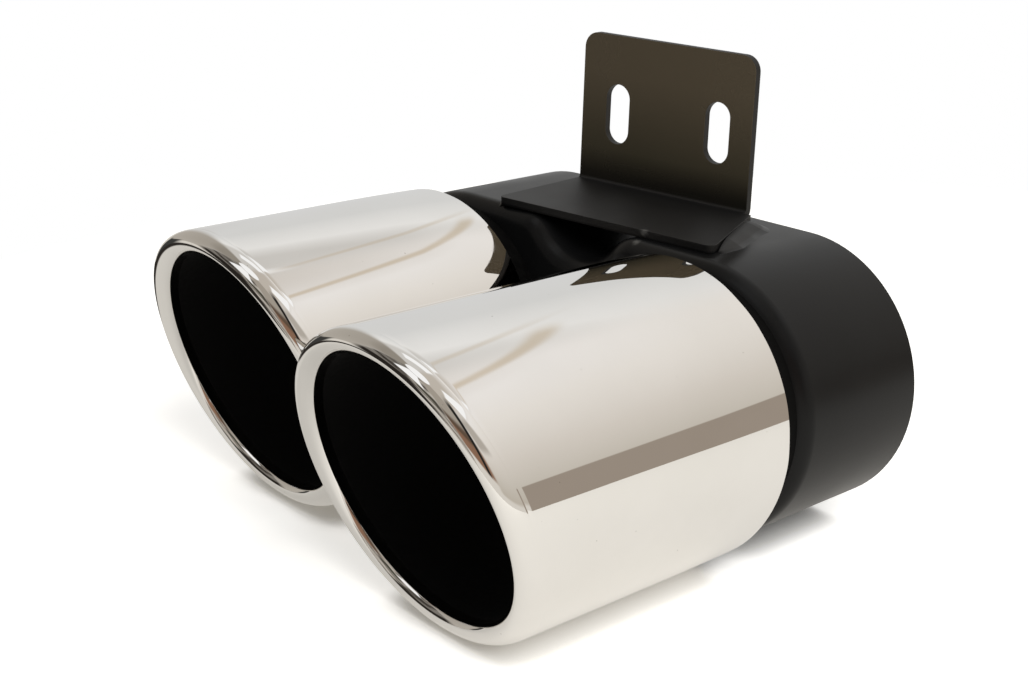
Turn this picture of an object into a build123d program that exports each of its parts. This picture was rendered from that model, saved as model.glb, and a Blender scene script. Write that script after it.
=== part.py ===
"""Twin exhaust tip: two slash-cut polished sleeves on black pipes, a black shell and a slotted bracket.

Millimetres. +Z is up, +X runs across the pair towards the longer tip, and the outlets face -Y.
The origin is on the floor that the sleeves rest on, under the middle of the whole part.
"""

import os
from math import atan, cos, degrees, hypot, radians, sin, tan

from build123d import *

# Polished sleeves: lengths are along the axis, from the rear edge to the lip
sleeve_diameter = 90.0
sleeve_wall = 1.2
sleeve_gap = 8.8
long_tip_length = 100.0
short_tip_length = 78.4
slash_angle = 19.7
slash_lean = 8.6
flange_length = 6.0

# The lip's section: it rolls in to its crest, then back into the mouth, in flat bands
lip_reach = 6.6
lip_fold = 3.6
lip_bands = 3
mouth_reach = 3.2
mouth_fold = 3.3
mouth_bands = 3

# Black pipes inside the sleeves, which carry them on the shell
pipe_wall = 1.0
pipe_end_inside = 10.0

# Black shell behind the sleeves: two round lobes with a valley between them on top and a flat underside
shell_wall = 1.2
shell_margin = 2.9
shell_gap = 9.5
shell_depth = 53.0
shoulder_radius = 5.5
inner_chamfer = 2.8
valley_width = 44.0
valley_depth = 10.5
valley_shoulder_radius = 10.0

# Bracket: a folded plate with a foot that widens to the front on the long tip's side
bracket_thickness = 2.5
bracket_yaw = 5.2
bracket_offset = -5.2
bracket_set_in = 5.6
plate_width = 66.2
plate_height = 50.8
plate_corner_radius = 5.0
foot_depth = 43.5
foot_overrun = 16.5
foot_rear_overrun = 2.5
foot_corner_radius = 2.5
bend_radius = 1.0
slot_width = 9.2
slot_length = 19.4
slot_spacing = 38.9
slot_offset = 0.7
slot_height = 25.5

# Weld beads along the foot's ends
bead_leg = 3.5
bead_inset = 4.0
bead_sink = 0.6

# Sizes that follow from those above
sleeve_radius = sleeve_diameter / 2
crest_radius = sleeve_radius - lip_fold
mouth_radius = crest_radius - mouth_fold
pipe_radius = mouth_radius + pipe_wall
shell_radius = pipe_radius + shell_margin
half_spacing = (sleeve_diameter + sleeve_gap) / 2
slope = tan(radians(slash_angle))
slope_z = slope * cos(radians(slash_lean))
slope_x = slope * sin(radians(slash_lean))

# Heights above the floor
axis_z = sleeve_radius
shell_top = axis_z + shell_radius

# Places along Y
lip_lead = hypot(lip_reach, slope * lip_fold) + slope * crest_radius
front_reach = long_tip_length - lip_reach + lip_lead
rear_reach = shell_gap + shell_depth
sleeve_end_y = (front_reach - rear_reach) / 2
shell_front_y = sleeve_end_y + shell_gap
shell_rear_y = shell_front_y + shell_depth
pipe_end_y = shell_front_y + pipe_end_inside


def across_tip(side, y):
    """A plane square to a tip's axis, facing the outlet: side is 1 for the long tip, -1 for the other."""
    return Plane(origin=(side * half_spacing, y, axis_z), x_dir=(1, 0, 0), z_dir=(0, -1, 0))


def slash_plane(side, reach):
    """The slash's plane, crossing the tip's axis at this reach ahead of the sleeve's rear edge."""
    middle = (side * half_spacing, sleeve_end_y - reach, axis_z)
    return Plane(origin=middle, z_dir=(-slope_x, -1, -slope_z))


def rolled_lip(side, length):
    """A sleeve's lip in the slash's plane: rolled in to its crest and mouth, with a flange behind it."""
    rolled = [radians(90 * band / lip_bands) for band in range(lip_bands)]
    turned = [radians(90 * band / mouth_bands) for band in range(mouth_bands + 1)]
    roll = [(crest_radius + lip_fold * cos(turn), -lip_reach * sin(turn)) for turn in rolled]
    mouth_end = mouth_reach - lip_reach
    crest = [(crest_radius - mouth_fold * sin(turn), -mouth_reach * cos(turn)) for turn in turned]
    mouth = [(radius, mouth_end + forward) for radius, forward in crest]
    flange_radius = mouth_radius + sleeve_wall
    flange_back = flange_length - lip_reach
    flange_end = [(mouth_radius, flange_back), (flange_radius, flange_back)]
    lip_root = (sleeve_radius - sleeve_wall, 0)
    hollow = [(flange_radius, mouth_end), (crest_radius, sleeve_wall - lip_reach), lip_root]
    middle = across_tip(side, sleeve_end_y - length + lip_reach).origin
    with BuildPart() as lip:
        with BuildSketch(Plane(origin=middle, x_dir=(1, 0, 0), z_dir=(0, 0, 1))):
            with BuildLine():
                Polyline(*roll, *mouth, *flange_end, *hollow, close=True)
            make_face()
        revolve(axis=Axis(middle, (0, -1, 0)))
    shift = slope_x * side * half_spacing + slope_z * axis_z
    skew = Matrix([[1, 0, 0, 0], [-slope_x, 1, -slope_z, shift], [0, 0, 1, 0]])
    return lip.part.transform_geometry(skew)


def shell_form(inset):
    """The shell's outline set in by inset and drawn out to its rear: lobes, valley and flat underside."""
    turn = 2 * atan(valley_depth / (valley_width / 2))
    dip_radius = (valley_width / 2) / sin(turn) - valley_shoulder_radius
    front = Plane(origin=(0, shell_front_y + inset, axis_z), x_dir=(-1, 0, 0), z_dir=(0, 1, 0))
    with BuildPart() as form:
        with BuildSketch(front):
            with BuildLine():
                Line((0, -shell_radius), (half_spacing, -shell_radius))
                CenterArc((half_spacing, 0), shell_radius, -90, 180)
                top = Line((half_spacing, shell_radius), (valley_width / 2, shell_radius))
                brow = JernArc(top @ 1, (-1, 0), valley_shoulder_radius, degrees(turn))
                JernArc(brow @ 1, brow % 1, dip_radius, -degrees(turn))
                mirror(about=Plane.YZ)
            make_face()
            if inset:
                offset(amount=-inset)
        extrude(amount=shell_depth)
    return form.part


with BuildPart() as shell_outside:
    add(shell_form(0))
    fillet(shell_outside.faces().sort_by(Axis.Y)[0].edges(), radius=shoulder_radius)

with BuildPart() as shell_inside:
    add(shell_form(shell_wall))
    chamfer(shell_inside.faces().sort_by(Axis.Y)[0].edges(), length=inner_chamfer)

long_lip = rolled_lip(1, long_tip_length)
short_lip = rolled_lip(-1, short_tip_length)

# The sleeves: a tube cut at the slash, and the lip on it
with BuildPart() as long_tip:
    with BuildSketch(across_tip(1, sleeve_end_y)):
        Circle(sleeve_radius)
        Circle(sleeve_radius - sleeve_wall, mode=Mode.SUBTRACT)
    extrude(amount=long_tip_length + lip_lead)
    split(bisect_by=slash_plane(1, long_tip_length - lip_reach), keep=Keep.BOTTOM)
    add(long_lip)

with BuildPart() as short_tip:
    with BuildSketch(across_tip(-1, sleeve_end_y)):
        Circle(sleeve_radius)
        Circle(sleeve_radius - sleeve_wall, mode=Mode.SUBTRACT)
    extrude(amount=short_tip_length + lip_lead)
    split(bisect_by=slash_plane(-1, short_tip_length - lip_reach), keep=Keep.BOTTOM)
    add(short_lip)

# The pipes, butted on the sleeves' flanges
with BuildPart() as long_pipe:
    with BuildSketch(across_tip(1, pipe_end_y)):
        Circle(pipe_radius)
        Circle(mouth_radius, mode=Mode.SUBTRACT)
    extrude(amount=pipe_end_y - sleeve_end_y + long_tip_length + lip_lead)
    split(bisect_by=slash_plane(1, long_tip_length - flange_length), keep=Keep.BOTTOM)

with BuildPart() as short_pipe:
    with BuildSketch(across_tip(-1, pipe_end_y)):
        Circle(pipe_radius)
        Circle(mouth_radius, mode=Mode.SUBTRACT)
    extrude(amount=pipe_end_y - sleeve_end_y + short_tip_length + lip_lead)
    split(bisect_by=slash_plane(-1, short_tip_length - flange_length), keep=Keep.BOTTOM)

# The shell, open at the rear, with the pipes pressed into its front
with BuildPart() as shell:
    add(shell_outside.part)
    add(shell_inside.part, mode=Mode.SUBTRACT)
    with BuildSketch(across_tip(1, pipe_end_y), across_tip(-1, pipe_end_y)):
        Circle(pipe_radius)
    extrude(amount=pipe_end_inside, mode=Mode.SUBTRACT)

# The bracket's own plane: X along the plate, Y to the rear, origin at the plate's rear face on the shell
bracket_plane = Plane(
    origin=(bracket_offset, shell_rear_y - bracket_set_in, shell_top),
    x_dir=(cos(radians(bracket_yaw)), sin(radians(bracket_yaw)), 0),
    z_dir=(0, 0, 1),
)
plate_face = Plane(origin=bracket_plane.origin, x_dir=bracket_plane.x_dir, z_dir=-bracket_plane.y_dir)
bracket_side = Plane(
    origin=bracket_plane.from_local_coords((-plate_width / 2, 0, 0)),
    x_dir=bracket_plane.y_dir,
    z_dir=bracket_plane.x_dir,
)
across_plate = Axis(bracket_plane.origin, bracket_plane.y_dir)
bend_length = bracket_thickness + bend_radius
foot_left = -plate_width / 2
foot_right_front = plate_width / 2 + foot_overrun
foot_right_rear = plate_width / 2 + foot_rear_overrun

with BuildPart() as bracket:
    with BuildSketch(bracket_side):
        with BuildLine():
            foot_under = Line((-foot_depth, 0), (-bend_length, 0))
            bend = JernArc(foot_under @ 1, (1, 0), bend_length, 90)
            plate_rear = Line(bend @ 1, (0, plate_height))
            plate_top = Line(plate_rear @ 1, (-bracket_thickness, plate_height))
            plate_front = Line(plate_top @ 1, (-bracket_thickness, bend_length))
            inner_bend = JernArc(plate_front @ 1, (0, -1), bend_radius, -90)
            Polyline(inner_bend @ 1, (-foot_depth, bracket_thickness), foot_under @ 0)
        make_face()
    extrude(amount=plate_width)
    with BuildSketch(bracket_plane):
        with BuildLine():
            inner_end = Line((plate_width / 2, -bend_length), (plate_width / 2, -foot_depth))
            outer_end = Line((foot_right_front, -foot_depth), (foot_right_rear, -bend_length))
            Line(inner_end @ 1, outer_end @ 0)
            Line(outer_end @ 1, inner_end @ 0)
        make_face()
    extrude(amount=bracket_thickness)
    with BuildSketch(plate_face):
        with Locations((slot_offset, slot_height)):
            with GridLocations(slot_spacing, 0, 2, 1):
                SlotOverall(slot_length, slot_width, rotation=90)
    extrude(amount=bracket_thickness, mode=Mode.SUBTRACT)
    fillet(bracket.edges().filter_by(across_plate).group_by(Axis.Z)[-1], radius=plate_corner_radius)
    fillet(bracket.edges().filter_by(Axis.Z).group_by(across_plate)[0], radius=foot_corner_radius)

# A weld bead along each end of the foot, to the rear on the left and to the front on the right
bead_runs = (
    ((foot_left, -foot_depth, 0), (foot_left, -bend_length, 0)),
    ((foot_right_rear, -bend_length, 0), (foot_right_front, -foot_depth, 0)),
)
with BuildPart() as bracket_welds:
    for run_start, run_end in bead_runs:
        run_origin = bracket_plane.from_local_coords(run_start)
        run = bracket_plane.from_local_coords(run_end) - run_origin
        along = run.normalized()
        outward = bracket_plane.z_dir.cross(along)
        with BuildSketch(Plane(run_origin + bead_inset * along, x_dir=outward, z_dir=along)):
            with BuildLine():
                corner = (0, -bead_sink)
                root = Polyline((0, bracket_thickness), corner, (bead_leg, -bead_sink), (bead_leg, 0))
                RadiusArc(root @ 1, root @ 0, -bead_leg)
            make_face()
        extrude(amount=run.length - 2 * bead_inset)
    add(shell_outside.part, mode=Mode.SUBTRACT)

long_tip.part.label = "long_tip"
short_tip.part.label = "short_tip"
long_pipe.part.label = "long_pipe"
short_pipe.part.label = "short_pipe"
shell.part.label = "shell"
bracket.part.label = "bracket"
bracket_welds.part.label = "bracket_welds"

os.makedirs("parts", exist_ok=True)
export_step(long_tip.part, "parts/long_tip.step")
export_step(short_tip.part, "parts/short_tip.step")
export_step(long_pipe.part, "parts/long_pipe.step")
export_step(short_pipe.part, "parts/short_pipe.step")
export_step(shell.part, "parts/shell.step")
export_step(bracket.part, "parts/bracket.step")
export_step(bracket_welds.part, "parts/bracket_welds.step")
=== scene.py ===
"""Looks for the twin exhaust tip: polished sleeves, a black shell and bracket, and a pale studio.

Lengths are in metres, in the frame that the solids share. The mouths face -Y and the floor is at
z = 0.
"""

from math import cos, pi, radians, sin, sqrt, tan

import bmesh
import bpy
from mathutils import Matrix, Vector, noise


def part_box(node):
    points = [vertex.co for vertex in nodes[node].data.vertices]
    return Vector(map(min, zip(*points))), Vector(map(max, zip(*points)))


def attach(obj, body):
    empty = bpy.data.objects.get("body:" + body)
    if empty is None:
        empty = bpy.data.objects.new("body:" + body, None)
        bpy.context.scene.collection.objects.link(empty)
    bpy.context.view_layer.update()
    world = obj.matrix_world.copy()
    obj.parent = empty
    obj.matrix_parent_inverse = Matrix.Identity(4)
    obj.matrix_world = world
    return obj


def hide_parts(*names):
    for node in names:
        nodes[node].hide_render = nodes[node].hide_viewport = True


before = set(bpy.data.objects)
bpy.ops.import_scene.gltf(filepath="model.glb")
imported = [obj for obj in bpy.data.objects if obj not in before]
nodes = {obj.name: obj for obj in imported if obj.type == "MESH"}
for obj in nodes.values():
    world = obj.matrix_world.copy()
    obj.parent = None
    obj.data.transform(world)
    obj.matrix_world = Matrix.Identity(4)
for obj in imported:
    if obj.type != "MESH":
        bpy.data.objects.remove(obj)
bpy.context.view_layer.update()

# Sizes of the sleeves, as in the solids
SLEEVE_RADIUS = 0.045
SLEEVE_WALL = 0.0012
HALF_SPACING = 0.0494
LIP_REACH = 0.0066
LIP_FOLD = 0.0036
MOUTH_REACH = 0.0032
MOUTH_FOLD = 0.0033
FLANGE_LENGTH = 0.006
LONG_LENGTH = 0.1
SHORT_LENGTH = 0.0784
SLASH = tan(radians(19.7))
SLASH_TURN = radians(8.6)
SLASH_Z = SLASH * cos(SLASH_TURN)
SLASH_X = SLASH * sin(SLASH_TURN)
SLEEVE_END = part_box("long_tip")[1].y
CREST_RADIUS = SLEEVE_RADIUS - LIP_FOLD
MOUTH_RADIUS = CREST_RADIUS - MOUTH_FOLD

# Finer form of the sleeves: the mouth's roll, the draw of the rear end, the groove behind the lip
# and the waver of the rear edge, then the steps that they are drawn in
MOUTH_FLATNESS = 1.25
REAR_DRAW_LENGTH = 0.026
LONG_DRAW = 0.0002
SHORT_DRAW = 0.0004
EDGE_EASE = 0.00025
GROOVE_HALF = 0.00013
GROOVE_DEPTH = 0.00003
WAVER_LENGTH = 0.004
WAVER_DEPTH = 0.0003
WAVER_OFFSET = 0.8
WAVER_RATE = 5.0
WAVER_SEED = 7.0
AROUND_STEPS = 400
WALL_STEPS = 60
LIP_STEPS = 40
MOUTH_STEPS = 30
INNER_STEPS = 12

# Sizes of the shell and of the bracket, as in the solids
SHELL_RADIUS = 0.042
SHELL_SHOULDER = 0.0055
SHELL_FRONT, SHELL_REAR = (corner.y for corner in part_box("shell"))
SHELL_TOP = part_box("shell")[1].z
FOOT_THICKNESS = 0.0025
FOOT_DEPTH = 0.0435
FOOT_LEFT = -0.0331
FOOT_RIGHT_FRONT = 0.0496
FOOT_RIGHT_REAR = 0.0356
PLATE_HEIGHT = 0.048
BRACKET_TURN = radians(5.2)
BRACKET_ALONG = Vector((cos(BRACKET_TURN), sin(BRACKET_TURN), 0.0))
BRACKET_REARWARD = Vector((-sin(BRACKET_TURN), cos(BRACKET_TURN), 0.0))
BRACKET_ORIGIN = Vector((-0.0052, SHELL_REAR - 0.0056, SHELL_TOP))

# Finer form of the black pieces: two pale spots in the paint, eased edges and the soft weld beads
PALE_SPOTS = ((0.0231, 0.0423, 0.0893), (0.0231, 0.0392, 0.0861))
PALE_SPOT_EDGE = (0.0026, 0.0008)
PALE_SPOT_RAGGED = 0.0014
PALE_SPOT_COLOUR = (0.06, 0.058, 0.054, 1.0)
FOOT_RISE = (SHELL_TOP + 0.0003, SHELL_TOP + 0.001)
PLATE_RISE = (SHELL_TOP + 0.0027, SHELL_TOP + 0.004)
BRACKET_EASE = 0.0004
EASE_STEPS = 3
EASE_ANGLE = radians(40)
SHARP_ANGLE = radians(38)
FLAT_ANGLE = radians(0.5)
SAME_CORNER = 0.00001
BEAD_STEPS = 150
BEAD_ACROSS = 18
BEAD_EASE = 0.009
BEAD_END_WIDTH = 0.25
BEAD_HEIGHT = 0.97
BEAD_TUCK = 0.0003
BEAD_SINK = 0.00015
BEAD_ROOT = 0.0004
LUMP_RATE = 4.0
LUMP_WIDTH = 0.2
LUMP_HEIGHT = 0.05

# The beads at the foot's left and right ends, each with its first and last place on the foot,
# its width at both and the seed of its lumps
BEADS = (
    ((FOOT_LEFT, 0.001 - FOOT_DEPTH), (FOOT_LEFT, -0.006), (0.0035, 0.0045), 1.7),
    ((FOOT_RIGHT_REAR, -0.0035), (FOOT_RIGHT_FRONT, 0.003 - FOOT_DEPTH), (0.0105, 0.005), 6.3),
)

# The camera: the photograph is 1028 pixels wide, with a focal length of 1800 pixels
PHOTO_WIDTH = 1028
FOCAL_PIXELS = 1800
SENSOR_WIDTH = 36.0
CAMERA_AZIMUTH = radians(45.54)
CAMERA_ELEVATION = radians(18.21)
CAMERA_ROLL = radians(1.9)
CAMERA_PLACE = (0.36585, SLEEVE_END - 0.37285, 0.22345)
CLIP_NEAR = 0.01
CLIP_FAR = 20.0

# The floor, and how the metal shows it: dimmer to the left, dark past the paper's left edge, and
# with a painted shadow round a place in front of the tips. CONTACT_GLOW, PAPER_EDGE, LEFT_DIM
# and the painted shadow's fade give a soft step's start and end, then its levels.
FLOOR_RADIUS = 0.46
FLOOR_SIDES = 96
FLOOR_MIDDLE = (0.1, 0.14, 0.0)
CONTACT_REACH = 0.012
CONTACT_SAMPLES = 8
CONTACT_GLOW = (0.34, 0.70, 0.0, 0.5)
LEFTWARD = (-0.78, -0.63)
PAPER_EDGE = (0.19, 0.17)
LEFT_DIM = (-0.08, 0.14, 1.0, 0.72)
MIRRORED_SHADOW_PLACE = (-0.01, -0.11, 0.0)
MIRRORED_SHADOW_FADE = (0.02, 0.08, 0.72, 1.0)
PAPER = (0.92, 0.905, 0.87, 1.0)
PAPER_GLOW = (1.0, 0.99, 0.97, 1.0)
MIRRORED_SHINE = (0.50, 0.48, 0.445, 1.0)
MIRRORED_PAPER = (0.33, 0.318, 0.295, 1.0)
PAST_PAPER = (0.03, 0.026, 0.022, 1.0)

# The lamp, and the even light from all round
LAMP_PLACE = (0.85, -0.35, 0.85)
LAMP_TARGET = (0.0, 0.0, 0.05)
LAMP_SIZE = 0.7
LAMP_POWER = 15.0
EVEN_LIGHT = 0.45

# The room that the metal mirrors, by direction. Heights run from 0, straight down, to 1, straight
# up. Turns are in degrees from +X towards +Y, and PAST_LEFT lies beyond -X, where they jump.
# Heights, turns and POST_WIDTH give low, high and softness, or SOFT_TURN where a turn gives none.
# TABLE_EDGE, ZENITH, DESK_TOP and LINE_WIDTH give a soft step's start and end, then its levels.
WHITE = (1.0, 1.0, 1.0, 1.0)
TABLE = (0.72, 0.68, 0.62)
RIGHT_WALL = (
    (0.0, TABLE),
    (0.47, TABLE),
    (0.49, (0.54, 0.49, 0.42)),
    (0.568, (0.60, 0.555, 0.49)),
    (0.68, (0.70, 0.65, 0.59)),
    (0.82, (0.84, 0.80, 0.75)),
    (0.87, (0.88, 0.85, 0.82)),
    (0.94, (0.55, 0.50, 0.44)),
)
REAR_WALL = (
    (0.45, (0.68, 0.68, 0.675)),
    (0.72, (0.71, 0.71, 0.70)),
    (0.84, (0.85, 0.84, 0.82)),
    (0.88, (0.64, 0.62, 0.59)),
)
LEFT_WALL = (
    (0.47, TABLE),
    (0.51, (0.46, 0.425, 0.375)),
    (0.86, (0.39, 0.355, 0.31)),
    (0.93, (0.30, 0.27, 0.23)),
)
BROWN_WALL = (
    (0.52, TABLE),
    (0.56, (0.27, 0.15, 0.095)),
    (0.70, (0.25, 0.14, 0.09)),
    (0.75, (0.11, 0.075, 0.05)),
    (0.80, (0.13, 0.09, 0.065)),
    (0.86, (0.38, 0.34, 0.29)),
)
SHELVES = (
    (0.38, (0.04, 0.034, 0.028)),
    (0.47, (0.30, 0.27, 0.235)),
    (0.58, (0.55, 0.51, 0.455)),
)
CLUTTER_SCALE = (2.2, 2.2, 7.0)
TABLE_EDGE = (0.30, 0.27)
ZENITH = (0.991, 0.993)
SOFT_TURN = 5
PAST_LEFT = 200
REAR_TURNS = (100, PAST_LEFT, 12)
LEFT_TURNS = (150, -144, 6)
FRONT_TURNS = (-144, -60)
BROWN_TURNS = (-60, -7)
DESK_TURNS = (-152, -100)
DESK_TOP = (0.60, 0.68, 1.0, 0.6)
DESK_COLOUR = (0.022, 0.018, 0.015, 1.0)
RECESS_TURNS = (170, -163, 4)
RECESS_HEIGHTS = (0.30, 0.525, 0.015)
RECESS_COLOUR = (0.045, 0.045, 0.042, 1.0)
POST_PLANE = (0.384, 1.0, -0.2615)
POST_WIDTH = (-0.10, 0.06, 0.02)
POST_HEIGHTS = (0.54, 0.955, 0.02)
POST_TURNS = (-40, 40)
POST_COLOUR = (0.02, 0.02, 0.018, 1.0)
LINE_WIDTH = (0.02, 0.003)
LINE_COLOUR = (0.50, 0.37, 0.20, 1.0)

# Patches of the room, each with its heights, turns and colour
BAND = ((0.43, 0.565, 0.003), (39.5, 90, 1), (0.345, 0.290, 0.240, 1.0))
BEAM = ((0.74, 0.85, 0.012), (-92, -58), (0.075, 0.07, 0.052, 1.0))
SIDE = ((0.74, 0.90, 0.03), (-2, 26), (0.47, 0.43, 0.38, 1.0))
BRIGHT = (
    ((0.885, 0.96, 0.004), (30, 60, 2), WHITE),
    ((0.907, 0.95, 0.004), (98, 132, 2), WHITE),
    ((0.865, 0.99, 0.004), (-118, -76, 2), WHITE),
)

# Soft lines across the room, each with its plane, depth and turns
LINES = (
    ((0.348, 1.0, -0.855), 0.5, (62, 112)),
    ((0.754, 1.0, -0.616), 0.3, (100, 118)),
)


class Nodes:
    """A short way to write a node tree: each call adds a node and sets or links its sockets."""

    def __init__(self, tree):
        self.tree = tree
        tree.nodes.clear()

    def feed(self, value, socket):
        """Links an output to a socket, or sets the socket's own value."""
        if isinstance(value, bpy.types.NodeSocket):
            self.tree.links.new(value, socket)
        else:
            socket.default_value = value

    def add(self, kind, sockets=None, **settings):
        node = self.tree.nodes.new(kind)
        for name, value in settings.items():
            setattr(node, name, value)
        for name, value in (sockets or {}).items():
            self.feed(value, node.inputs[name])
        return node

    def math(self, operation, a, b=0.0):
        return self.add("ShaderNodeMath", {0: a, 1: b}, operation=operation).outputs[0]

    def vector_math(self, operation, a, b):
        return self.add("ShaderNodeVectorMath", {0: a, 1: b}, operation=operation).outputs["Value"]

    def parts(self, vector):
        return self.add("ShaderNodeSeparateXYZ", {"Vector": vector}).outputs

    def between(self, value, low, high, to_low=0.0, to_high=1.0):
        """A soft step from to_low at low to to_high at high."""
        sockets = {
            "Value": value,
            "From Min": low,
            "From Max": high,
            "To Min": to_low,
            "To Max": to_high,
        }
        node = self.add("ShaderNodeMapRange", sockets, interpolation_type="SMOOTHSTEP")
        return node.outputs["Result"]

    def within(self, value, low, high, soft):
        """One between low and high, and nothing beyond them."""
        rise = self.between(value, low - soft, low + soft)
        fall = self.between(value, high + soft, high - soft)
        return self.math("MULTIPLY", rise, fall)

    def mix(self, factor, a, b):
        node = self.add("ShaderNodeMix", data_type="RGBA")
        for value, number in ((factor, 0), (a, 6), (b, 7)):
            self.feed(value, node.inputs[number])
        return node.outputs[2]

    def ramp(self, value, stops):
        node = self.add("ShaderNodeValToRGB", {"Fac": value})
        points = node.color_ramp.elements
        while len(points) < len(stops):
            points.new(1.0)
        for point, (place, colour) in zip(points, stops):
            point.position = place
            point.color = (*colour, 1.0)
        return node.outputs["Color"]

    def noise(self, vector, scale, detail):
        sockets = {"Vector": vector, "Scale": scale, "Detail": detail, "Roughness": 0.55}
        return self.add("ShaderNodeTexNoise", sockets).outputs["Fac"]

    def stretched(self, vector, scale):
        return self.add("ShaderNodeMapping", {"Vector": vector, "Scale": scale}).outputs["Vector"]

    def bump(self, height, strength, distance, **more):
        sockets = {"Height": height, "Strength": strength, "Distance": distance, **more}
        return self.add("ShaderNodeBump", sockets).outputs["Normal"]

    def shaders(self, kind, *inputs):
        """Adds or mixes shaders, given in the order of the node's sockets."""
        return self.add(kind, dict(enumerate(inputs))).outputs[0]


def material(name):
    """A new material, with the tree, the shader's inputs and the place on the part."""
    made = bpy.data.materials.new(name)
    made.use_nodes = True
    tree = Nodes(made.node_tree)
    shader = tree.add("ShaderNodeBsdfPrincipled")
    tree.add("ShaderNodeOutputMaterial", {"Surface": shader.outputs["BSDF"]})
    place = tree.add("ShaderNodeTexCoord").outputs["Object"]
    return made, tree, shader.inputs, place


def polished_steel():
    """Mirror-polished steel: faint lines along the tube, slight clouds and a few specks."""
    made, tree, inputs, place = material("polished_steel")
    inputs["Metallic"].default_value = 1.0
    cloud = tree.noise(place, scale=24.0, detail=4.0)
    lines = tree.noise(tree.stretched(place, (260.0, 9.0, 260.0)), scale=1.0, detail=3.0)
    tone = tree.ramp(cloud, [(0.3, (0.86, 0.85, 0.83)), (0.7, (0.90, 0.89, 0.875))])
    specks = tree.between(tree.noise(place, scale=1100.0, detail=0.0), 0.885, 0.915)
    tree.feed(tree.mix(specks, tone, (0.5, 0.48, 0.45, 1.0)), inputs["Base Color"])
    cloud_rough = tree.between(cloud, 0.35, 0.75, 0.012, 0.03)
    line_rough = tree.between(lines, 0.45, 0.8, 0.0, 0.03)
    tree.feed(tree.math("ADD", cloud_rough, line_rough), inputs["Roughness"])
    ripple = tree.noise(tree.stretched(place, (34.0, 12.0, 34.0)), scale=1.0, detail=2.0)
    wavy = tree.bump(ripple, strength=0.05, distance=0.0004)
    tree.feed(tree.bump(lines, strength=0.02, distance=0.0001, Normal=wavy), inputs["Normal"])
    return made


def black_enamel():
    """Black paint, faint peel: satin shell, dull foot, painted reflection and shade on the plate.

    The foot is told by its height, and the plate by its height and the direction of its faces.
    """
    made, tree, inputs, place = material("black_enamel")
    above = tree.parts(place)["Z"]
    normal = tree.add("ShaderNodeNewGeometry").outputs["Normal"]
    lengthwise = tree.math("ABSOLUTE", tree.parts(normal)["Y"])
    foot = tree.between(above, *FOOT_RISE)
    upright = tree.between(above, *PLATE_RISE)
    plate = tree.math("MULTIPLY", upright, tree.between(lengthwise, 0.5, 0.8))
    cloud = tree.noise(place, scale=30.0, detail=4.0)
    satin = tree.ramp(cloud, [(0.3, (0.0032, 0.0032, 0.0033)), (0.75, (0.0055, 0.0055, 0.0056))])
    # Painted reflection and shade on the plate: brownish, lighter up top, dark down by the foot.
    painted_plate_reflection = tree.ramp(tree.between(above, SHELL_TOP, SHELL_TOP + PLATE_HEIGHT), [
        (0.03, (0.006, 0.0056, 0.0045)),
        (0.2, (0.034, 0.029, 0.0185)),
        (0.9, (0.070, 0.0555, 0.036)),
    ])
    tone = tree.mix(plate, satin, painted_plate_reflection)
    ragged = tree.math("MULTIPLY", tree.noise(place, scale=1400.0, detail=2.0), PALE_SPOT_RAGGED)
    # Two pale spots mixed into the paint's colour, at the foot's front edge and on the shell below
    # it.
    for pale_spot in PALE_SPOTS:
        away = tree.math("ADD", tree.vector_math("DISTANCE", place, pale_spot), ragged)
        tone = tree.mix(tree.between(away, *PALE_SPOT_EDGE), tone, PALE_SPOT_COLOUR)
    tree.feed(tone, inputs["Base Color"])
    foot_rough = tree.between(foot, 0.0, 1.0, 0.34, 0.54)
    plate_rough = tree.between(plate, 0.0, 1.0, 0.0, -0.26)
    cloud_rough = tree.between(cloud, 0.3, 0.75, -0.03, 0.03)
    rough = tree.math("ADD", tree.math("ADD", foot_rough, plate_rough), cloud_rough)
    tree.feed(rough, inputs["Roughness"])
    foot_shine = tree.between(foot, 0.0, 1.0, 0.2, 0.45)
    plate_shine = tree.between(plate, 0.0, 1.0, 0.0, 0.1)
    tree.feed(tree.math("ADD", foot_shine, plate_shine), inputs["Specular IOR Level"])
    tree.feed(tree.mix(plate, WHITE, (1.0, 0.84, 0.64, 1.0)), inputs["Specular Tint"])
    peel = tree.noise(place, scale=900.0, detail=2.0)
    tree.feed(tree.bump(peel, strength=0.08, distance=0.0001), inputs["Normal"])
    return made


def pipe_black():
    """Dull high-temperature black on the pipes."""
    made, tree, inputs, place = material("pipe_black")
    grain = tree.noise(place, scale=420.0, detail=3.0)
    tone = tree.ramp(grain, [(0.35, (0.0012, 0.0012, 0.0012)), (0.7, (0.0028, 0.0027, 0.0026))])
    tree.feed(tone, inputs["Base Color"])
    tree.feed(tree.between(grain, 0.3, 0.7, 0.75, 0.9), inputs["Roughness"])
    inputs["Specular IOR Level"].default_value = 0.12
    return made


STEEL = polished_steel()
ENAMEL = black_enamel()
PIPE = pipe_black()


def placed(name, data):
    """A new object in the scene."""
    thing = bpy.data.objects.new(name, data)
    bpy.context.scene.collection.objects.link(thing)
    return thing


def closed(build, mesh):
    """Ends the building of a mesh."""
    build.to_mesh(mesh)
    build.free()
    return mesh


def skin(build, rings):
    """Joins each ring of corners to the next with four-sided faces."""
    for one, two in zip(rings, rings[1:]):
        for place in range(len(one)):
            after = (place + 1) % len(one)
            build.faces.new((one[place], one[after], two[after], two[place]))


def shown(name, mesh, slot, made, *replaced):
    """Adds a mesh as a piece that rides on the part and stands for CAD nodes."""
    piece = placed(name, mesh)
    mesh.materials.clear()
    mesh.materials.append(made)
    for polygon in mesh.polygons:
        polygon.use_smooth = True
    mesh.set_sharp_from_angle(angle=SHARP_ANGLE)
    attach(piece, "root")
    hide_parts(*replaced)
    return piece


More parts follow.
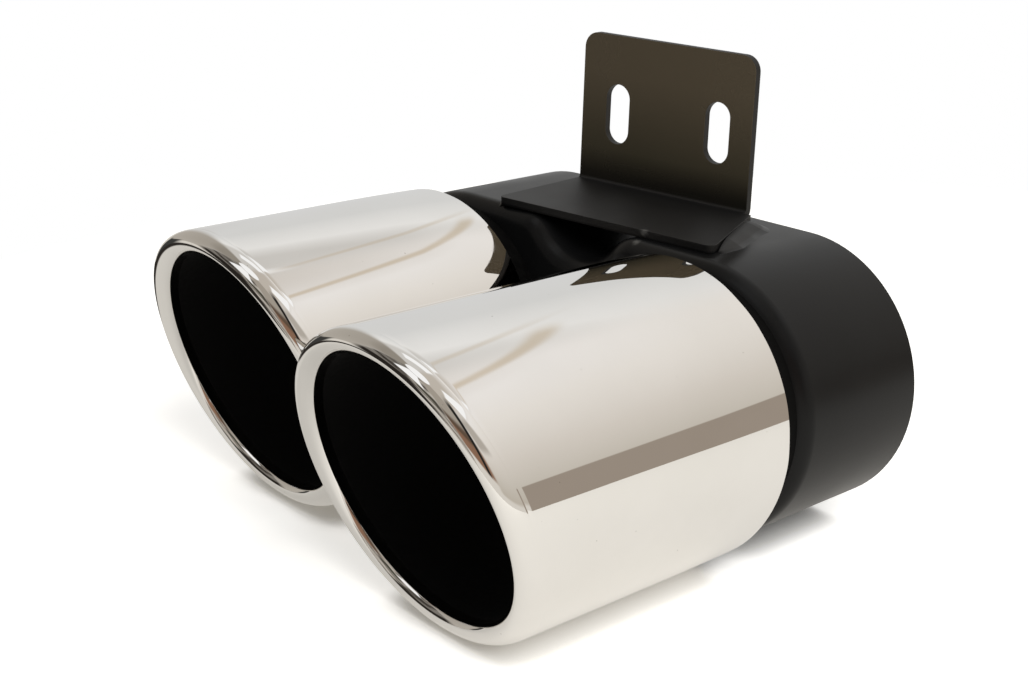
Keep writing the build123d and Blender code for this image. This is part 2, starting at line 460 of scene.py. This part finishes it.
def sleeve_profile(length, draw):
    """Points round a sleeve's wall, which draws in a little towards its rear edge.

    Each has a radius, a distance ahead of the rear edge and a share of the slash's skew.
    """
    straight = length - LIP_REACH
    points = [(SLEEVE_RADIUS - draw - EDGE_EASE, 0.0, 0.0)]
    wall = [straight * step / WALL_STEPS for step in range(1, WALL_STEPS)]
    for ahead in [EDGE_EASE] + wall + [straight - 2 * GROOVE_HALF]:
        drawn = draw * max(0.0, 1 - ahead / REAR_DRAW_LENGTH) ** 2
        points.append((SLEEVE_RADIUS - drawn, ahead, ahead / straight))
    points.append((SLEEVE_RADIUS - GROOVE_DEPTH, straight - GROOVE_HALF, 1.0))
    points.append((SLEEVE_RADIUS, straight, 1.0))
    for step in range(1, LIP_STEPS + 1):
        turn = pi / 2 * step / LIP_STEPS
        points.append((CREST_RADIUS + LIP_FOLD * cos(turn), straight + LIP_REACH * sin(turn), 1.0))
    for step in range(1, MOUTH_STEPS + 1):
        turn = pi / 2 * step / MOUTH_STEPS
        fold, reach = sin(turn) ** MOUTH_FLATNESS, 1 - cos(turn) ** MOUTH_FLATNESS
        points.append((CREST_RADIUS - MOUTH_FOLD * fold, length - MOUTH_REACH * reach, 1.0))
    inner = SLEEVE_RADIUS - SLEEVE_WALL
    points += [
        (MOUTH_RADIUS, length - FLANGE_LENGTH, 1.0),
        (MOUTH_RADIUS + SLEEVE_WALL, length - FLANGE_LENGTH, 1.0),
        (MOUTH_RADIUS + SLEEVE_WALL, length - MOUTH_REACH, 1.0),
        (CREST_RADIUS, length - SLEEVE_WALL, 1.0),
        (inner, straight, 1.0),
    ]
    for step in range(1, INNER_STEPS):
        share = 1 - step / INNER_STEPS
        points.append((inner, straight * share, share))
    points.append((inner - draw, EDGE_EASE, EDGE_EASE / straight))
    points.append((inner - draw + EDGE_EASE, 0.0, 0.0))
    return points


def sleeve(name, side, length, draw, node):
    """A smooth sleeve, with a rear edge that wavers a little as a cut sheet's does."""
    build = bmesh.new()
    rings = []
    for radius, ahead, share in sleeve_profile(length, draw):
        ring = []
        for step in range(AROUND_STEPS):
            turn = 2 * pi * step / AROUND_STEPS
            x, z = radius * cos(turn), radius * sin(turn)
            waver = 0.0
            if ahead < WAVER_LENGTH:
                spot = Vector((WAVER_RATE * cos(turn), WAVER_RATE * sin(turn), WAVER_SEED * side))
                fade = 1 - ahead / WAVER_LENGTH
                waver = WAVER_DEPTH * (noise.noise(spot) - WAVER_OFFSET) * fade
            y = SLEEVE_END - ahead - share * (SLASH_X * x + SLASH_Z * z) + waver
            ring.append(build.verts.new((side * HALF_SPACING + x, y, SLEEVE_RADIUS + z)))
        rings.append(ring)
    skin(build, rings + rings[:1])
    bmesh.ops.recalc_face_normals(build, faces=build.faces)
    mesh = closed(build, bpy.data.meshes.new(name))
    shown(name, mesh, "polished_steel", STEEL, node)


def dressed(node, slot, made, bevel=0.0):
    """A CAD node's own form, welded across its faces, with its edges eased."""
    mesh = nodes[node].data.copy()
    build = bmesh.new()
    build.from_mesh(mesh)
    bmesh.ops.remove_doubles(build, verts=build.verts, dist=SAME_CORNER)
    bmesh.ops.dissolve_limit(build, angle_limit=FLAT_ANGLE, verts=build.verts, edges=build.edges)
    piece = shown(node + "_finish", closed(build, mesh), slot, made, node)
    if bevel:
        ease = piece.modifiers.new("eased_edges", "BEVEL")
        ease.width = bevel
        ease.segments = EASE_STEPS
        ease.limit_method = "ANGLE"
        ease.angle_limit = EASE_ANGLE
        ease.harden_normals = True


def shell_height(spot):
    """Height of the shell's top under a spot, with its rounded lobes and front shoulder."""
    over_lobe = max(0.0, abs(spot.x) - HALF_SPACING)
    over_shoulder = max(0.0, SHELL_FRONT + SHELL_SHOULDER - spot.y)
    lobe_drop = SHELL_RADIUS - sqrt(SHELL_RADIUS ** 2 - over_lobe ** 2)
    shoulder = sqrt(SHELL_SHOULDER ** 2 - over_shoulder ** 2)
    return SHELL_TOP - lobe_drop - SHELL_SHOULDER + shoulder


def on_foot(along, rearward):
    """A spot on the shell's top, from the bracket's own corner."""
    return BRACKET_ORIGIN + along * BRACKET_ALONG + rearward * BRACKET_REARWARD


def bead(build, first, last, widths, seed):
    """A soft, uneven weld along an end of the foot, from its top down to the shell."""
    begin = on_foot(*first)
    run = on_foot(*last) - begin
    outward = Vector((0.0, 0.0, 1.0)).cross(run.normalized())
    rings = []
    for step in range(BEAD_STEPS + 1):
        share = step / BEAD_STEPS
        gone = run.length * min(share, 1 - share)
        ease = min(1.0, gone / BEAD_EASE) ** 0.5
        lump = noise.noise(Vector((seed, LUMP_RATE * share, 0.0)))
        narrowed = BEAD_END_WIDTH + (1 - BEAD_END_WIDTH) * ease
        width = (widths[0] + (widths[1] - widths[0]) * share) * (1 + LUMP_WIDTH * lump) * narrowed
        high = FOOT_THICKNESS * (BEAD_HEIGHT + LUMP_HEIGHT * lump) * ease
        ring = []
        for place in range(BEAD_ACROSS + 1):
            reach = place / BEAD_ACROSS
            spot = begin + run * share + outward * (width * reach - BEAD_TUCK)
            rise = high * (0.5 + 0.5 * cos(pi * reach))
            spot.z = shell_height(spot) + rise - BEAD_SINK * reach
            ring.append(build.verts.new(spot))
        for back in (width - BEAD_TUCK, -BEAD_TUCK):
            spot = begin + run * share + outward * back
            spot.z = shell_height(spot) - BEAD_ROOT
            ring.append(build.verts.new(spot))
        rings.append(ring)
    skin(build, rings)
    build.faces.new(rings[0])
    build.faces.new(reversed(rings[-1]))


def welds():
    """The two beads, in one piece."""
    build = bmesh.new()
    for places in BEADS:
        bead(build, *places)
    bmesh.ops.recalc_face_normals(build, faces=build.faces)
    mesh = closed(build, bpy.data.meshes.new("bracket_welds_finish"))
    shown("bracket_welds_finish", mesh, "black_enamel", ENAMEL, "bracket_welds")


sleeve("long_sleeve", 1, LONG_LENGTH, LONG_DRAW, "long_tip")
sleeve("short_sleeve", -1, SHORT_LENGTH, SHORT_DRAW, "short_tip")
dressed("long_pipe", "pipe_black", PIPE)
dressed("short_pipe", "pipe_black", PIPE)
dressed("shell", "black_enamel", ENAMEL)
dressed("bracket", "black_enamel", ENAMEL, BRACKET_EASE)
welds()


def set_camera():
    """The camera at the photograph's place."""
    azimuth, elevation, roll = CAMERA_AZIMUTH, CAMERA_ELEVATION, CAMERA_ROLL
    level_part = cos(elevation)
    forward = Vector((-sin(azimuth) * level_part, cos(azimuth) * level_part, -sin(elevation)))
    level = Vector((cos(azimuth), sin(azimuth), 0.0))
    right = cos(roll) * level + sin(roll) * level.cross(forward)
    up = right.cross(forward)
    lens = bpy.data.cameras.new("camera")
    lens.sensor_fit = "HORIZONTAL"
    lens.sensor_width = SENSOR_WIDTH
    lens.lens = SENSOR_WIDTH * FOCAL_PIXELS / PHOTO_WIDTH
    lens.clip_start = CLIP_NEAR
    lens.clip_end = CLIP_FAR
    camera = placed("camera", lens)
    turned = Matrix((right, up, -forward)).transposed().to_4x4()
    camera.matrix_world = Matrix.Translation(CAMERA_PLACE) @ turned
    bpy.context.scene.camera = camera


def set_floor():
    """A pale disc that keeps the shadow: white to the camera in the open, greyer in the metal."""
    build = bmesh.new()
    middle = Matrix.Translation(FLOOR_MIDDLE)
    bmesh.ops.create_circle(
        build, cap_ends=True, segments=FLOOR_SIDES, radius=FLOOR_RADIUS, matrix=middle)
    mesh = closed(build, bpy.data.meshes.new("floor"))
    floor = placed("floor", mesh)
    made = bpy.data.materials.new("floor_paper")
    made.use_nodes = True
    tree = Nodes(made.node_tree)
    path = tree.add("ShaderNodeLightPath").outputs
    contact = tree.add(
        "ShaderNodeAmbientOcclusion", {"Distance": CONTACT_REACH}, samples=CONTACT_SAMPLES)
    open_floor = tree.between(contact.outputs["AO"], *CONTACT_GLOW)
    glow = tree.math("MULTIPLY", path["Is Camera Ray"], open_floor)
    paper = tree.add("ShaderNodeBsdfDiffuse", {"Color": PAPER})
    lift = tree.add("ShaderNodeEmission", {"Color": PAPER_GLOW, "Strength": glow})
    direct = tree.shaders("ShaderNodeAddShader", paper.outputs[0], lift.outputs[0])
    spot = tree.add("ShaderNodeTexCoord").outputs["Object"]
    place = tree.parts(spot)
    by_x = tree.math("MULTIPLY", place["X"], LEFTWARD[0])
    by_y = tree.math("MULTIPLY", place["Y"], LEFTWARD[1])
    leftward = tree.math("ADD", by_x, by_y)
    on_paper = tree.between(leftward, *PAPER_EDGE)
    level = tree.math("MULTIPLY", on_paper, tree.between(leftward, *LEFT_DIM))
    # A painted shadow that the metal shows on the floor, round a place in front of the tips.
    away = tree.vector_math("DISTANCE", spot, MIRRORED_SHADOW_PLACE)
    level = tree.math("MULTIPLY", level, tree.between(away, *MIRRORED_SHADOW_FADE))
    shine = tree.add("ShaderNodeEmission", {"Color": MIRRORED_SHINE, "Strength": level})
    grey = tree.mix(on_paper, PAST_PAPER, MIRRORED_PAPER)
    shadowed = tree.add("ShaderNodeBsdfDiffuse", {"Color": grey})
    mirrored = tree.shaders("ShaderNodeAddShader", shine.outputs[0], shadowed.outputs[0])
    both = tree.shaders("ShaderNodeMixShader", path["Is Glossy Ray"], direct, mirrored)
    tree.add("ShaderNodeOutputMaterial", {"Surface": both})
    mesh.materials.append(made)


def set_world():
    """White to the camera, an even soft light, and a plain room that only the metal shows."""
    world = bpy.data.worlds.new("studio")
    bpy.context.scene.world = world
    world.use_nodes = True
    tree = Nodes(world.node_tree)
    toward = tree.add("ShaderNodeTexCoord").outputs["Generated"]
    parts = tree.parts(toward)
    upward = {"Value": parts["Z"], "From Min": -1.0, "From Max": 1.0}
    height = tree.add("ShaderNodeMapRange", upward).outputs["Result"]
    turn = tree.math("ARCTAN2", parts["Y"], parts["X"])

    def sector(low, high, soft=SOFT_TURN):
        return tree.within(turn, radians(low), radians(high), radians(soft))

    def left_sector(low, high, soft):
        """A sector across -X, where the turn jumps from 180 to -180 degrees."""
        return tree.math("MAXIMUM", sector(low, PAST_LEFT, soft), sector(-PAST_LEFT, high, soft))

    def patched(room, heights, turns, colour):
        shape = tree.math("MULTIPLY", tree.within(height, *heights), sector(*turns))
        return tree.mix(shape, room, colour)

    right = patched(tree.ramp(height, RIGHT_WALL), *BAND)
    room = tree.mix(sector(*REAR_TURNS), right, tree.ramp(height, REAR_WALL))
    room = tree.mix(left_sector(*LEFT_TURNS), room, tree.ramp(height, LEFT_WALL))
    recess = tree.within(height, *RECESS_HEIGHTS)
    recess = tree.math("MULTIPLY", left_sector(*RECESS_TURNS), recess)
    room = tree.mix(recess, room, RECESS_COLOUR)

    clutter = tree.noise(tree.stretched(toward, CLUTTER_SCALE), scale=1.0, detail=4.0)
    desk = tree.math("MULTIPLY", tree.between(height, *DESK_TOP), sector(*DESK_TURNS))
    front = tree.mix(desk, tree.ramp(clutter, SHELVES), DESK_COLOUR)
    front = tree.mix(tree.between(height, *TABLE_EDGE), front, (*TABLE, 1.0))
    room = tree.mix(sector(*FRONT_TURNS), room, patched(front, *BEAM))
    room = tree.mix(sector(*BROWN_TURNS), room, tree.ramp(height, BROWN_WALL))
    room = patched(room, *SIDE)

    post = tree.within(tree.vector_math("DOT_PRODUCT", toward, POST_PLANE), *POST_WIDTH)
    post = tree.math("MULTIPLY", post, tree.within(height, *POST_HEIGHTS))
    post = tree.math("MULTIPLY", post, sector(*POST_TURNS))
    room = tree.mix(post, room, POST_COLOUR)
    for patch in BRIGHT:
        room = patched(room, *patch)
    room = tree.mix(tree.between(height, *ZENITH), room, WHITE)
    for plane, depth, turns in LINES:
        across = tree.math("ABSOLUTE", tree.vector_math("DOT_PRODUCT", toward, plane))
        line = tree.between(across, *LINE_WIDTH, 0.0, depth)
        room = tree.mix(tree.math("MULTIPLY", line, sector(*turns)), room, LINE_COLOUR)

    path = tree.add("ShaderNodeLightPath").outputs
    even, mirrored, white = (
        tree.add("ShaderNodeBackground", {"Color": colour, "Strength": strength}).outputs[0]
        for colour, strength in ((WHITE, EVEN_LIGHT), (room, 1.0), (WHITE, 1.0)))
    lit = tree.shaders("ShaderNodeMixShader", path["Is Glossy Ray"], even, mirrored)
    seen = tree.shaders("ShaderNodeMixShader", path["Is Camera Ray"], lit, white)
    tree.add("ShaderNodeOutputWorld", {"Surface": seen})


def set_lamp():
    """A soft square lamp aimed at the part. The metal doesn't show it."""
    light = bpy.data.lights.new("key", "AREA")
    light.shape = "SQUARE"
    light.size = LAMP_SIZE
    light.energy = LAMP_POWER
    holder = placed("key", light)
    holder.location = LAMP_PLACE
    aim = Vector(LAMP_TARGET) - Vector(LAMP_PLACE)
    holder.rotation_euler = aim.to_track_quat("-Z", "Y").to_euler()
    holder.visible_glossy = False


set_camera()
set_floor()
set_world()
set_lamp()
bpy.context.scene.view_settings.view_transform = "Standard"
